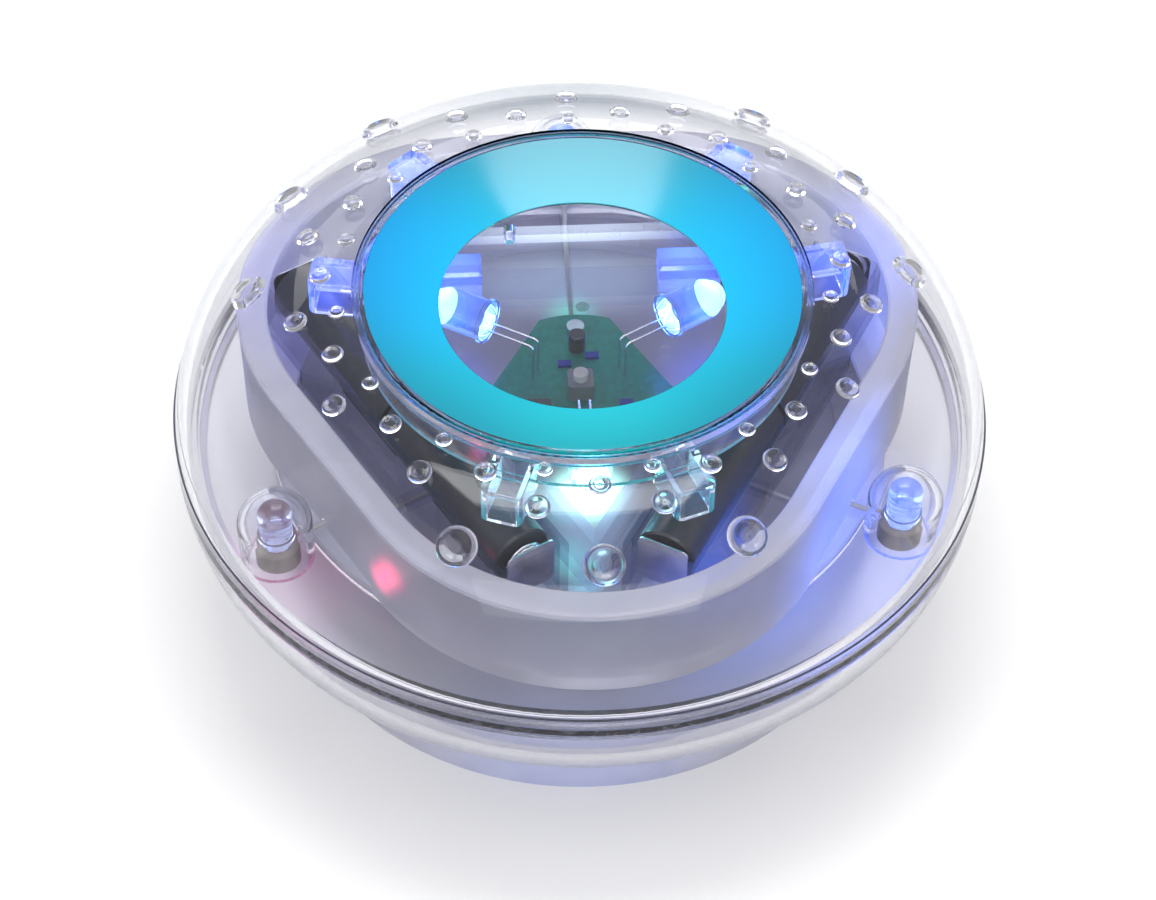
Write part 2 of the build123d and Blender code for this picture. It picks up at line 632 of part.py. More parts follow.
with BuildPart() as battery_tray:
    with BuildSketch(Plane.XY.offset(TRAY_Z)):
        add(skirt_outline(BASE_WALL + TRAY_GAP))
    extrude(amount=TRAY_THICK)
    for angle in TROUGH_ANGLES:
        with BuildSketch(Plane.XY.offset(TRAY_Z)):
            with Locations(Location((0, 0, 0), (0, 0, angle))):
                with Locations((TROUGH_OFFSET, -trough_shift(angle))):
                    Rectangle(
                        2 * (TROUGH_HALF_WIDTH + TROUGH_WALL),
                        2 * (TROUGH_HALF_LENGTH + TROUGH_WALL),
                    )
            Circle(TUB_OPENING - TRAY_GAP, mode=Mode.INTERSECT)
        extrude(amount=TUB_FLOOR_TOP_Z + TRAY_GAP - TRAY_Z)
        with BuildSketch(Plane.XY.offset(TUB_FLOOR_TOP_Z + TRAY_GAP)):
            with Locations(Location((0, 0, 0), (0, 0, angle))):
                with Locations((TROUGH_OFFSET, -trough_shift(angle))):
                    Rectangle(
                        2 * (TROUGH_HALF_WIDTH + TROUGH_WALL),
                        2 * (TROUGH_HALF_LENGTH + TROUGH_WALL),
                    )
            add(tub_outline(BASE_WALL + TRAY_GAP), mode=Mode.INTERSECT)
        extrude(amount=TROUGH_TOP_Z - TUB_FLOOR_TOP_Z - TRAY_GAP)
    for angle in TROUGH_ANGLES:
        with BuildSketch(Plane.XY.offset(TRAY_Z)):
            with Locations(Location((0, 0, 0), (0, 0, angle))):
                with Locations((TROUGH_OFFSET, -trough_shift(angle))):
                    Rectangle(2 * TROUGH_HALF_WIDTH, 2 * TROUGH_HALF_LENGTH)
                with Locations((TROUGH_OFFSET, 0)):
                    Rectangle(2 * TROUGH_HALF_WIDTH, WIRE_BRIDGE, mode=Mode.SUBTRACT)
        extrude(amount=TROUGH_TOP_Z - TRAY_Z, mode=Mode.SUBTRACT)
        with BuildSketch(Plane.XY.offset(TRAY_TOP_Z)):
            with Locations(Location((0, 0, 0), (0, 0, angle))):
                with Locations((TROUGH_OFFSET, 0)):
                    Rectangle(2 * TROUGH_HALF_WIDTH, WIRE_BRIDGE)
        extrude(amount=TROUGH_TOP_Z - TRAY_TOP_Z, mode=Mode.SUBTRACT)
    with BuildSketch(Plane.XY.offset(TRAY_TOP_Z)):
        with PolarLocations(POST_ORBIT, 3, start_angle=90):
            Circle(POST_RADIUS)
    extrude(amount=BOARD_Z - TRAY_TOP_Z)
    with BuildSketch(Plane.XY.offset(BOARD_Z)):
        with PolarLocations(POST_ORBIT, 3, start_angle=90):
            Circle(PILOT_RADIUS)
    extrude(amount=-(SCREW_DEPTH + 0.2), mode=Mode.SUBTRACT)
    with BuildSketch(Plane.XY.offset(TRAY_Z)):
        with PolarLocations(SCREW_ORBIT, 3, start_angle=30):
            Circle(BOSS_CLEARANCE)
    extrude(amount=TUB_FLOOR_TOP_Z - TRAY_Z, mode=Mode.SUBTRACT)
    for angle in FLAT_ANGLES:
        with BuildSketch(Plane.XY.offset(WIRE_Z - WIRE_RADIUS - 0.1)):
            with Locations(Location((0, 0, 0), (0, 0, angle))):
                with Locations((WIRE_RISE - 0.8, 0)):
                    Rectangle(TUB_OPENING, WIRE_SLOT, align=(Align.MIN, Align.CENTER))
        extrude(amount=2.2, mode=Mode.SUBTRACT)
battery_tray.part.label = "battery_tray"
export_step(battery_tray.part, "parts/battery_tray.step")

# ---- Clear V-shaped screen in front of the front lamp -------------------------------------
SCREEN_OFFSET = 25.0          # distance of the screen's inner faces from the axis
SCREEN_WALL = 2.6
SCREEN_HALF_WIDTH = 16.0
SCREEN_TOP_Z = 66.0
SCREEN_INNER_TIP = -2 * SCREEN_OFFSET
SCREEN_OUTER_TIP = -2 * (SCREEN_OFFSET + SCREEN_WALL)
SCREEN_DEPTH = SCREEN_HALF_WIDTH * tan(radians(60))

with BuildPart() as lamp_screen:
    with BuildSketch(Plane.XY.offset(TRAY_TOP_Z)):
        with BuildLine():
            Polyline(
                (0, SCREEN_INNER_TIP),
                (SCREEN_HALF_WIDTH, SCREEN_INNER_TIP + SCREEN_DEPTH),
                (SCREEN_HALF_WIDTH, SCREEN_OUTER_TIP + SCREEN_DEPTH),
                (0, SCREEN_OUTER_TIP),
                (-SCREEN_HALF_WIDTH, SCREEN_OUTER_TIP + SCREEN_DEPTH),
                (-SCREEN_HALF_WIDTH, SCREEN_INNER_TIP + SCREEN_DEPTH),
                close=True,
            )
        make_face()
    extrude(amount=SCREEN_TOP_Z - TRAY_TOP_Z)
lamp_screen.part.label = "lamp_screen"
export_step(lamp_screen.part, "parts/lamp_screen.step")

# ---- Cells, end contacts and springs ------------------------------------------------------
NUB_RADIUS = 2.7
NUB_LENGTH = 1.2
CONTACT_SPRING_RADIUS = 4.2
CONTACT_SPRING_WIRE = 0.4
CONTACT_HEIGHT = 13.0
CONTACT_WIDTH = 12.0
CELL_ROW = TROUGH_HALF_LENGTH - CONTACT_THICK

cell_number = 0
for angle in TROUGH_ANGLES:
    for step in (0, 1):
        cell_number += 1
        foot = CELL_ROW - CELL_LENGTH * (step + 1)
        with BuildPart() as cell:
            with BuildSketch(trough_plane(angle, foot, CELL_Z)):
                Circle(CELL_RADIUS)
            extrude(amount=CELL_LENGTH - NUB_LENGTH)
            chamfer(cell.edges(), length=0.5)
            with BuildSketch(trough_plane(angle, foot + CELL_LENGTH - NUB_LENGTH, CELL_Z)):
                Circle(NUB_RADIUS)
            extrude(amount=NUB_LENGTH)
        cell.part.label = f"cell_{cell_number}"
        export_step(cell.part, f"parts/cell_{cell_number}.step")

with BuildPart() as contact_plates:
    for angle in TROUGH_ANGLES:
        for end in (-TROUGH_HALF_LENGTH, TROUGH_HALF_LENGTH - CONTACT_THICK):
            with BuildSketch(trough_plane(angle, end, CELL_Z - 1.0)):
                RectangleRounded(CONTACT_WIDTH, CONTACT_HEIGHT, 1.5)
            extrude(amount=CONTACT_THICK)
contact_plates.part.label = "contact_plates"
export_step(contact_plates.part, "parts/contact_plates.step")

CONTACT_SPRING_TURNS = 2.5
SPRING_CLEARANCE = 0.15

spring_room = 2 * (TROUGH_HALF_LENGTH - CONTACT_THICK - CELL_LENGTH)
coil_height = spring_room - 2 * (CONTACT_SPRING_WIRE + SPRING_CLEARANCE)
coil_start = CONTACT_THICK + CONTACT_SPRING_WIRE + SPRING_CLEARANCE - TROUGH_HALF_LENGTH
for number, angle in enumerate(TROUGH_ANGLES, start=1):
    with BuildPart() as contact_spring:
        spring_seat = trough_plane(angle, coil_start, CELL_Z)
        with BuildLine() as contact_coil:
            Helix(
                pitch=coil_height / CONTACT_SPRING_TURNS,
                height=coil_height,
                radius=CONTACT_SPRING_RADIUS,
                center=spring_seat.origin,
                direction=spring_seat.z_dir,
            )
        with BuildSketch(Plane(origin=contact_coil.line @ 0, z_dir=contact_coil.line % 0)):
            Circle(CONTACT_SPRING_WIRE)
        sweep(path=contact_coil.line)
    contact_spring.part.label = f"contact_spring_{number}"
    export_step(contact_spring.part, f"parts/contact_spring_{number}.step")

# ---- Clear rail behind the board, and the two light guides in it --------------------------
RAIL_Y = 43.7
RAIL_WIDTH = 16.2
RAIL_LENGTH = 80.0
RAIL_WALL = 1.6
RAIL_TOP_Z = 60.0
RAIL_STRIP = 4.0              # punched strip along the top of the rail's rear wall
RAIL_STRIP_THICK = 1.4
GUIDE_OFFSET = 29.0
GUIDE_LENGTH = 15.0

with BuildPart() as rear_rail:
    with BuildSketch(Plane.XY.offset(TRAY_TOP_Z)):
        with Locations((0, RAIL_Y)):
            Rectangle(RAIL_LENGTH, RAIL_WIDTH)
    extrude(amount=RAIL_TOP_Z - TRAY_TOP_Z)
    with BuildSketch(Plane.XY.offset(TRAY_TOP_Z + RAIL_WALL)):
        with Locations((0, RAIL_Y)):
            Rectangle(RAIL_LENGTH + 1.0, RAIL_WIDTH - 2 * RAIL_WALL)
    extrude(amount=RAIL_TOP_Z - TRAY_TOP_Z, mode=Mode.SUBTRACT)
    with BuildSketch(Plane.XY.offset(RAIL_TOP_Z - RAIL_STRIP_THICK)):
        with Locations((0, RAIL_Y + RAIL_WIDTH / 2 - 2.4)):
            Rectangle(RAIL_LENGTH, RAIL_STRIP)
            with GridLocations(8.0, 0, 4, 1):
                Circle(0.8, mode=Mode.SUBTRACT)
    extrude(amount=RAIL_STRIP_THICK)
rear_rail.part.label = "rear_rail"
export_step(rear_rail.part, "parts/rear_rail.step")

with BuildPart() as light_guides:
    with BuildSketch(Plane.XY.offset(TRAY_TOP_Z + RAIL_WALL)):
        with Locations((0, RAIL_Y - RAIL_WALL)):
            with GridLocations(2 * GUIDE_OFFSET, 0, 2, 1):
                Rectangle(GUIDE_LENGTH, 8.0)
    extrude(amount=8.0)
    chamfer(light_guides.edges().group_by(Axis.Z)[-1], length=0.8)
light_guides.part.label = "light_guides"
export_step(light_guides.part, "parts/light_guides.step")

# ---- Battery door with its grip and cell posts, gasket, pads and captive screws -----------
GASKET_SECTION = 1.6
GASKET_INSET = 9.4
GROOVE_GAP = 0.1
GASKET_GROOVE_Z = 41.8
DOOR_TOP_Z = DOOR_Z + DOOR_THICK
DOOR_GAP = 0.5
GRIP_LENGTH = 32.0
GRIP_WIDTH = 4.0
GRIP_HEIGHT = 6.0
PAD_THICK = 2.0
PAD_OFFSET = 20.0
PAD_TOP_Z = CELL_Z - CELL_RADIUS - 0.3
DOOR_HEAD_RADIUS = 2.9
DOOR_HEAD_HEIGHT = 2.2
DOOR_SHANK_LENGTH = 8.4

with BuildPart() as battery_door:
    with BuildSketch(Plane.XY.offset(DOOR_Z)):
        add(skirt_outline(BASE_WALL + DOOR_GAP))
    extrude(amount=DOOR_THICK)
    with BuildSketch(Plane.XY.offset(GASKET_GROOVE_Z)):
        add(skirt_outline(GASKET_INSET - GROOVE_GAP))
        add(skirt_outline(GASKET_INSET + GASKET_SECTION + GROOVE_GAP), mode=Mode.SUBTRACT)
    extrude(amount=DOOR_THICK, mode=Mode.SUBTRACT)
    with BuildSketch(Plane.XY.offset(DOOR_Z)):
        with PolarLocations(SCREW_ORBIT, 3, start_angle=30):
            Circle(SCREW_RADIUS + 0.05)
    extrude(amount=DOOR_THICK, mode=Mode.SUBTRACT)
    with BuildSketch(Plane.XY.offset(DOOR_Z)):
        RectangleRounded(GRIP_LENGTH, GRIP_WIDTH, 1.5)
    extrude(amount=-GRIP_HEIGHT)
    with BuildSketch(Plane.XY.offset(DOOR_TOP_Z)):
        with PolarLocations(0, 2, start_angle=TROUGH_ANGLES[0], angular_range=240):
            with Locations((TROUGH_OFFSET, -PAD_OFFSET), (TROUGH_OFFSET, PAD_OFFSET)):
                Rectangle(7.0, 23.0)
    extrude(amount=PAD_TOP_Z - PAD_THICK - DOOR_TOP_Z)
battery_door.part.label = "battery_door"
export_step(battery_door.part, "parts/battery_door.step")

with BuildPart() as door_gasket:
    with BuildSketch(Plane.XY.offset(GASKET_GROOVE_Z)):
        add(skirt_outline(GASKET_INSET))
        add(skirt_outline(GASKET_INSET + GASKET_SECTION), mode=Mode.SUBTRACT)
    extrude(amount=SEAT_Z - GASKET_GROOVE_Z - 0.05)
door_gasket.part.label = "door_gasket"
export_step(door_gasket.part, "parts/door_gasket.step")

with BuildPart() as door_pads:
    with BuildSketch(Plane.XY.offset(PAD_TOP_Z - PAD_THICK)):
        with PolarLocations(0, 2, start_angle=TROUGH_ANGLES[0], angular_range=240):
            with Locations((TROUGH_OFFSET, -PAD_OFFSET), (TROUGH_OFFSET, PAD_OFFSET)):
                Rectangle(8.0, 24.0)
    extrude(amount=PAD_THICK)
door_pads.part.label = "door_pads"
export_step(door_pads.part, "parts/door_pads.step")

with BuildPart() as door_screws:
    with BuildSketch(Plane.XY.offset(DOOR_Z - DOOR_HEAD_HEIGHT)):
        with PolarLocations(SCREW_ORBIT, 3, start_angle=30):
            Circle(DOOR_HEAD_RADIUS)
    extrude(amount=DOOR_HEAD_HEIGHT)
    with BuildSketch(Plane.XY.offset(DOOR_Z)):
        with PolarLocations(SCREW_ORBIT, 3, start_angle=30):
            Circle(SCREW_RADIUS)
    extrude(amount=DOOR_SHANK_LENGTH)
    with BuildSketch(Plane.XY.offset(DOOR_Z - DOOR_HEAD_HEIGHT)):
        with PolarLocations(SCREW_ORBIT, 3, start_angle=30):
            Rectangle(3.4, 0.8)
            Rectangle(0.8, 3.4)
    extrude(amount=1.2, mode=Mode.SUBTRACT)
door_screws.part.label = "door_screws"
export_step(door_screws.part, "parts/door_screws.step")
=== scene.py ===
from math import cos, pi, radians, sin, sqrt

import bpy
from mathutils import Matrix, Vector


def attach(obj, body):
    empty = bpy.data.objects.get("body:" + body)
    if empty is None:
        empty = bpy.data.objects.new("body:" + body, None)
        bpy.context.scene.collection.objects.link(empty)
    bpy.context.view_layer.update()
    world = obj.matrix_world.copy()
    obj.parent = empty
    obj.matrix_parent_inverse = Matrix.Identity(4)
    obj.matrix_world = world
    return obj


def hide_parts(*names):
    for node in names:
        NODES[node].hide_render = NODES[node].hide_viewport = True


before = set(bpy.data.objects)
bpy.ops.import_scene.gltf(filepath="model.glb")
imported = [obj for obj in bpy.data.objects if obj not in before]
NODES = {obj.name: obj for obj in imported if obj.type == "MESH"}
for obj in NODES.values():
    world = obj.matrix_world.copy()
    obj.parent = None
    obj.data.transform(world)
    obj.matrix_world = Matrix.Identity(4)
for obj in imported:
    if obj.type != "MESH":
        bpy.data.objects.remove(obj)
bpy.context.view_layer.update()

MM = 0.001


# ---------------------------------------------------------------- camera
# degrees, metres and millimetres of lens; the view of the photograph: from the front, well above
CAMERA_AZIMUTH = -4.5
CAMERA_ELEVATION = 48.165
CAMERA_ROLL = 1.418
CAMERA_DISTANCE = 0.7544
CAMERA_LENS = 98.31
LOOK_AT = Vector((-0.0002, 0.0, 0.0366))


def make_camera():
    azimuth, elevation, roll = (radians(a) for a in (CAMERA_AZIMUTH, CAMERA_ELEVATION, CAMERA_ROLL))
    back = Vector((sin(azimuth) * cos(elevation), -cos(azimuth) * cos(elevation), sin(elevation)))
    level = Vector((cos(azimuth), sin(azimuth), 0.0))
    upright = back.cross(level)
    right = level * cos(roll) + upright * sin(roll)
    up = back.cross(right)
    data = bpy.data.cameras.new("camera")
    data.lens = CAMERA_LENS
    data.sensor_width = 36.0
    data.clip_start = 0.01
    camera = bpy.data.objects.new("camera", data)
    bpy.context.scene.collection.objects.link(camera)
    turn = Matrix((right, up, back)).transposed().to_4x4()
    camera.matrix_world = Matrix.Translation(LOOK_AT + back * CAMERA_DISTANCE) @ turn
    bpy.context.scene.camera = camera


make_camera()


# ---------------------------------------------------------------- light and floor
def area_light(name, place, target, size, power, mirrored=False):
    data = bpy.data.lights.new(name, "AREA")
    data.shape = "RECTANGLE"
    data.size, data.size_y = size
    data.energy = power
    light = bpy.data.objects.new(name, data)
    bpy.context.scene.collection.objects.link(light)
    light.location = place
    light.rotation_mode = "QUATERNION"
    light.rotation_quaternion = (Vector(target) - Vector(place)).to_track_quat("-Z", "Y")
    light.visible_glossy = mirrored


def make_world():
    """A pale studio that is a little darker low down than overhead."""
    world = bpy.data.worlds.new("studio")
    bpy.context.scene.world = world
    world.use_nodes = True
    tree = world.node_tree
    direction = tree.nodes.new("ShaderNodeTexCoord")
    split = tree.nodes.new("ShaderNodeSeparateXYZ")
    tree.links.new(direction.outputs["Generated"], split.inputs["Vector"])
    shade = ramp(tree, split.outputs["Z"], [
        (0.00, (0.72, 0.72, 0.73)),
        (0.20, (0.38, 0.38, 0.40)),
        (0.55, (0.51, 0.51, 0.54)),
        (1.00, (0.75, 0.75, 0.77)),
    ])
    background = tree.nodes["Background"]
    tree.links.new(shade, background.inputs["Color"])
    background.inputs["Strength"].default_value = 0.85


def make_floor():
    size = 3.0
    mesh = bpy.data.meshes.new("floor")
    mesh.from_pydata([(-size, -size, 0), (size, -size, 0), (size, size, 0), (-size, size, 0)], [], [(0, 1, 2, 3)])
    floor = bpy.data.objects.new("floor", mesh)
    bpy.context.scene.collection.objects.link(floor)
    material = bpy.data.materials.new("studio_floor")
    material.use_nodes = True
    shader = material.node_tree.nodes["Principled BSDF"]
    shader.inputs["Base Color"].default_value = (0.93, 0.93, 0.93, 1.0)
    shader.inputs["Roughness"].default_value = 0.9
    shader.inputs["Specular IOR Level"].default_value = 0.1
    mesh.materials.append(material)


# ---------------------------------------------------------------- node helpers
def new_material(name):
    material = bpy.data.materials.new(name)
    material.use_nodes = True
    tree = material.node_tree
    tree.nodes.clear()
    output = tree.nodes.new("ShaderNodeOutputMaterial")
    return material, tree, output


def principled(tree, **sockets):
    shader = tree.nodes.new("ShaderNodeBsdfPrincipled")
    for key, value in sockets.items():
        shader.inputs[key.replace("_", " ")].default_value = value
    return shader


def position(tree):
    """Place in the row frame, in metres: every piece's object sits at the origin."""
    return tree.nodes.new("ShaderNodeTexCoord").outputs["Object"]


def noise(tree, scale):
    made = tree.nodes.new("ShaderNodeTexNoise")
    made.inputs["Scale"].default_value = scale
    made.inputs["Detail"].default_value = 3.0
    made.inputs["Roughness"].default_value = 0.55
    tree.links.new(position(tree), made.inputs["Vector"])
    return made.outputs["Fac"]


def math_node(tree, operation, *inputs):
    made = tree.nodes.new("ShaderNodeMath")
    made.operation = operation
    for socket, value in zip(made.inputs, inputs):
        if isinstance(value, (int, float)):
            socket.default_value = value
        else:
            tree.links.new(value, socket)
    return made.outputs[0]


def ramp(tree, factor, stops):
    made = tree.nodes.new("ShaderNodeValToRGB")
    elements = made.color_ramp.elements
    while len(elements) > 1:
        elements.remove(elements[-1])
    elements[0].position, elements[0].color = stops[0][0], (*stops[0][1], 1.0)
    for place, color in stops[1:]:
        element = elements.new(place)
        element.color = (*color, 1.0)
    tree.links.new(factor, made.inputs["Fac"])
    return made.outputs["Color"]


def bump(tree, height, strength, distance):
    made = tree.nodes.new("ShaderNodeBump")
    made.inputs["Strength"].default_value = strength
    made.inputs["Distance"].default_value = distance
    tree.links.new(height, made.inputs["Height"])
    return made.outputs["Normal"]


def spot_glow(tree, centre, radius, stretch=(1.0, 1.0, 1.0)):
    """A soft ball of light in the row frame: 1 at the centre, 0 at the radius."""
    mapping = tree.nodes.new("ShaderNodeMapping")
    mapping.vector_type = "TEXTURE"
    mapping.inputs["Location"].default_value = centre
    mapping.inputs["Scale"].default_value = tuple(radius * s for s in stretch)
    tree.links.new(position(tree), mapping.inputs["Vector"])
    length = tree.nodes.new("ShaderNodeVectorMath")
    length.operation = "LENGTH"
    tree.links.new(mapping.outputs["Vector"], length.inputs[0])
    falloff = tree.nodes.new("ShaderNodeMapRange")
    falloff.interpolation_type = "SMOOTHERSTEP"
    falloff.inputs["From Min"].default_value = 1.0
    falloff.inputs["From Max"].default_value = 0.0
    tree.links.new(length.outputs["Value"], falloff.inputs["Value"])
    return falloff.outputs["Result"]


def add_glows(tree, glows):
    """Colours of several soft lights, added up. Each is a centre, a radius, a colour and, at times, a stretch."""
    total = None
    for centre, radius, color, *rest in glows:
        amount = spot_glow(tree, centre, radius, *rest)
        tint = tree.nodes.new("ShaderNodeVectorMath")
        tint.operation = "SCALE"
        tint.inputs[0].default_value = color
        tree.links.new(amount, tint.inputs["Scale"])
        if total is None:
            total = tint.outputs["Vector"]
        else:
            added = tree.nodes.new("ShaderNodeVectorMath")
            added.operation = "ADD"
            tree.links.new(total, added.inputs[0])
            tree.links.new(tint.outputs["Vector"], added.inputs[1])
            total = added.outputs["Vector"]
    return total


def polar(radius, angle, height):
    """A place in metres from a radius in millimetres, an angle in degrees and a height in millimetres."""
    return (radius * MM * cos(radians(angle)), radius * MM * sin(radians(angle)), height * MM)


make_world()
make_floor()
area_light("overhead", (0.0, 0.22, 1.25), (0.0, 0.02, 0.05), (0.62, 0.36), 4.4, mirrored=True)
area_light("left_box", (-1.3, -0.4, 1.0), (0.0, 0.0, 0.05), (1.2, 1.5), 7.5)
area_light("right_box", (1.3, -0.3, 1.0), (0.0, 0.0, 0.05), (1.2, 1.5), 6.5)
area_light("front_fill", (0.0, -1.6, 1.3), (0.0, -0.2, 0.0), (2.0, 0.8), 17.0)
area_light("back_wash", (0.0, 2.2, 1.5), (0.0, 1.6, 0.0), (2.6, 0.8), 24.0)


# ---------------------------------------------------------------- clear plastic
def see_through(tree, output, shader, shadow_color):
    """Lets the studio light through the clear piece, so that what lies inside is lit."""
    clear = tree.nodes.new("ShaderNodeBsdfTransparent")
    clear.inputs["Color"].default_value = (*shadow_color, 1.0)
    light_path = tree.nodes.new("ShaderNodeLightPath")
    mix = tree.nodes.new("ShaderNodeMixShader")
    tree.links.new(light_path.outputs["Is Shadow Ray"], mix.inputs["Fac"])
    tree.links.new(shader.outputs[0], mix.inputs[1])
    tree.links.new(clear.outputs[0], mix.inputs[2])
    tree.links.new(mix.outputs[0], output.inputs["Surface"])


def tint_and_painted_edge_shade(tree, tint, edge):
    """Clear face on, darker where the surface turns away: the plastic seen through its length, and painted shade for
    the dark surroundings that the edges show.
    """
    facing = tree.nodes.new("ShaderNodeLayerWeight")
    facing.inputs["Blend"].default_value = 0.5
    middle = tuple((a + b) / 2 for a, b in zip(tint, edge))
    return ramp(tree, facing.outputs["Facing"], [(0.0, tint), (0.45, tint), (0.72, middle), (0.95, edge)])


def clear_plastic(name, tint=(0.985, 0.985, 1.0), roughness=0.0, ior=1.47, glows=(),
                  strength=1.0, shadow=(0.965, 0.965, 0.975), edge=None, painted_shade=None):
    """Refracting plastic, with an optional painted shade: a colour and a soft patch, as spot_glow takes, where the
    colour is made deeper.
    """
    material, tree, output = new_material(name)
    shader = principled(tree, Roughness=roughness, IOR=ior, Transmission_Weight=1.0)
    color = tint_and_painted_edge_shade(tree, tint, edge or tuple(c * 0.8 for c in tint))
    if painted_shade:
        shade_color, patch = painted_shade
        mix = tree.nodes.new("ShaderNodeMix")
        mix.data_type = "RGBA"
        mix.blend_type = "MULTIPLY"
        tree.links.new(spot_glow(tree, *patch), mix.inputs["Factor"])
        tree.links.new(color, mix.inputs["A"])
        mix.inputs["B"].default_value = (*shade_color, 1.0)
        color = mix.outputs["Result"]
    tree.links.new(color, shader.inputs["Base Color"])
    if glows:
        tree.links.new(add_glows(tree, glows), shader.inputs["Emission Color"])
        shader.inputs["Emission Strength"].default_value = strength
    see_through(tree, output, shader, shadow)
    return material


def thin_clear(name, tint=(0.93, 0.94, 0.98), edge=(0.45, 0.47, 0.58), shine=0.9, glows=(), strength=1.0):
    """Thin-walled clear plastic: straight see-through, with shinier edges that painted shade darkens."""
    material, tree, output = new_material(name)
    clear = tree.nodes.new("ShaderNodeBsdfTransparent")
    tree.links.new(tint_and_painted_edge_shade(tree, tint, edge), clear.inputs["Color"])
    gloss = tree.nodes.new("ShaderNodeBsdfGlossy")
    gloss.inputs["Roughness"].default_value = 0.05
    facing = tree.nodes.new("ShaderNodeLayerWeight")
    facing.inputs["Blend"].default_value = 0.5
    grazing = math_node(tree, "POWER", facing.outputs["Facing"], 4.0)
    sheen = math_node(tree, "MULTIPLY_ADD", grazing, 0.7 * shine, 0.04 * shine)
    mix = tree.nodes.new("ShaderNodeMixShader")
    tree.links.new(sheen, mix.inputs["Fac"])
    tree.links.new(clear.outputs[0], mix.inputs[1])
    tree.links.new(gloss.outputs[0], mix.inputs[2])
    result = mix
    if glows:
        light = tree.nodes.new("ShaderNodeEmission")
        tree.links.new(add_glows(tree, glows), light.inputs["Color"])
        light.inputs["Strength"].default_value = strength
        result = tree.nodes.new("ShaderNodeAddShader")
        tree.links.new(mix.outputs[0], result.inputs[0])
        tree.links.new(light.outputs[0], result.inputs[1])
    tree.links.new(result.outputs[0], output.inputs["Surface"])
    return material


def simple(name, color, roughness=0.5, metallic=0.0, grain=200.0, depth=0.0, spread=0.06, **more):
    """An opaque finish with slight mottling and grain."""
    material, tree, output = new_material(name)
    shader = principled(tree, Roughness=roughness, Metallic=metallic, **more)
    dark = tuple(max(0.0, c * (1 - spread)) for c in color)
    light = tuple(min(1.0, c * (1 + spread)) for c in color)
    mottle = noise(tree, grain)
    tree.links.new(ramp(tree, mottle, [(0.3, dark), (0.7, light)]), shader.inputs["Base Color"])
    if depth:
        tree.links.new(bump(tree, noise(tree, grain * 4), 0.4, depth), shader.inputs["Normal"])
    tree.links.new(shader.outputs[0], output.inputs["Surface"])
    return material, tree, shader


def paint(material, *names):
    for name in names:
        slots = NODES[name].data.materials
        slots.clear()
        slots.append(material)


BLUE = (0.06, 0.20, 1.0)
PINK = (1.0, 0.16, 0.30)
MINT = (0.25, 1.0, 0.85)

paint(
    clear_plastic("bowl_clear", tint=(0.93, 0.925, 0.955), edge=(0.40, 0.41, 0.50), roughness=0.05, ior=1.3),
    "lower_bowl",
)
# painted light on the deck: a blue glow of a lamp at 320° and a pink one of the red pod lamp at 215°
paint(
    clear_plastic("deck_milky", tint=(0.87, 0.87, 0.93), roughness=0.25, ior=1.4, glows=[
        (polar(82, 320, 50), 0.05, (0.02, 0.04, 0.20)),
        (polar(82, 215, 50), 0.03, (0.06, 0.01, 0.03)),
    ]),
    "lamp_deck",
)
paint(clear_plastic("inner_clear", tint=(0.95, 0.96, 1.0), ior=1.38), "lamp_pod_1", "lamp_pod_2", "lamp_pod_3")
paint(thin_clear("pusher_clear", tint=(0.995, 0.995, 1.0), edge=(0.93, 0.93, 0.96), shine=0.1), "switch_pusher")
# painted light on the tray: the lamps' glow, mint and green at its front, blue at its sides, pale and green at its
# back
paint(
    thin_clear("tray_clear", tint=(0.93, 0.93, 0.97), glows=[
        ((0.001, -0.0215, 0.047), 0.0135, (0.75, 1.60, 1.35)),
        (polar(42, 262, 47), 0.010, (0.05, 0.30, 0.24)),
        ((0.0, 0.046, 0.048), 0.034, (0.07, 0.10, 0.10), (1.3, 0.5, 0.5)),
        (polar(66, 300, 56), 0.030, (0.01, 0.03, 0.20)),
        (polar(34, 20, 56), 0.022, (0.01, 0.03, 0.30)),
        (polar(34, 160, 56), 0.022, (0.01, 0.03, 0.30)),
        (polar(34, 90, 50), 0.010, (0.00, 0.22, 0.13)),
    ]),
    "battery_tray",
)
# painted light on the screen: a mint glow of the front lamp and a pale glow above it
paint(
    thin_clear("screen_clear", tint=(0.78, 0.80, 0.90), edge=(0.45, 0.48, 0.60), glows=[
        (polar(34, 262, 60), 0.012, (0.08, 0.34, 0.30)),
        (polar(46, 270, 64), 0.030, (0.10, 0.13, 0.18)),
    ]),
    "lamp_screen",
)
# painted light on the rail: a pale strip of glow along it at the back
paint(
    thin_clear("rail_clear", tint=(0.93, 0.94, 0.98), glows=[
        ((0.0, 0.050, 0.060), 0.030, (0.24, 0.28, 0.32), (1.6, 0.3, 0.3)),
    ]),
    "rear_rail",
)
TAB_LIGHT = ((10, (0.02, 0.06, 0.50)), (50, (0.02, 0.06, 0.45)), (130, (0.02, 0.06, 0.35)), (170, (0.02, 0.06, 0.60)),
             (250, (0.01, 0.03, 0.05)), (290, (0.01, 0.03, 0.06)))
paint(
    clear_plastic("cap_clear", tint=(0.95, 0.96, 1.0), edge=(0.62, 0.66, 0.80), glows=[
        (polar(58.5, angle, 84.0), 0.012, color) for angle, color in TAB_LIGHT
    ]),
    "button_cap",
)
paint(
    clear_plastic("guide_lit", tint=(0.5, 0.6, 1.0), roughness=0.1, glows=[
        ((-0.029, 0.042, 0.054), 0.014, (0.05, 0.15, 0.9)),
        ((0.029, 0.042, 0.054), 0.014, (0.08, 0.18, 0.9)),
    ]),
    "light_guides",
)
paint(clear_plastic("seal_clear", tint=(0.62, 0.76, 0.95), roughness=0.15), "button_seal")


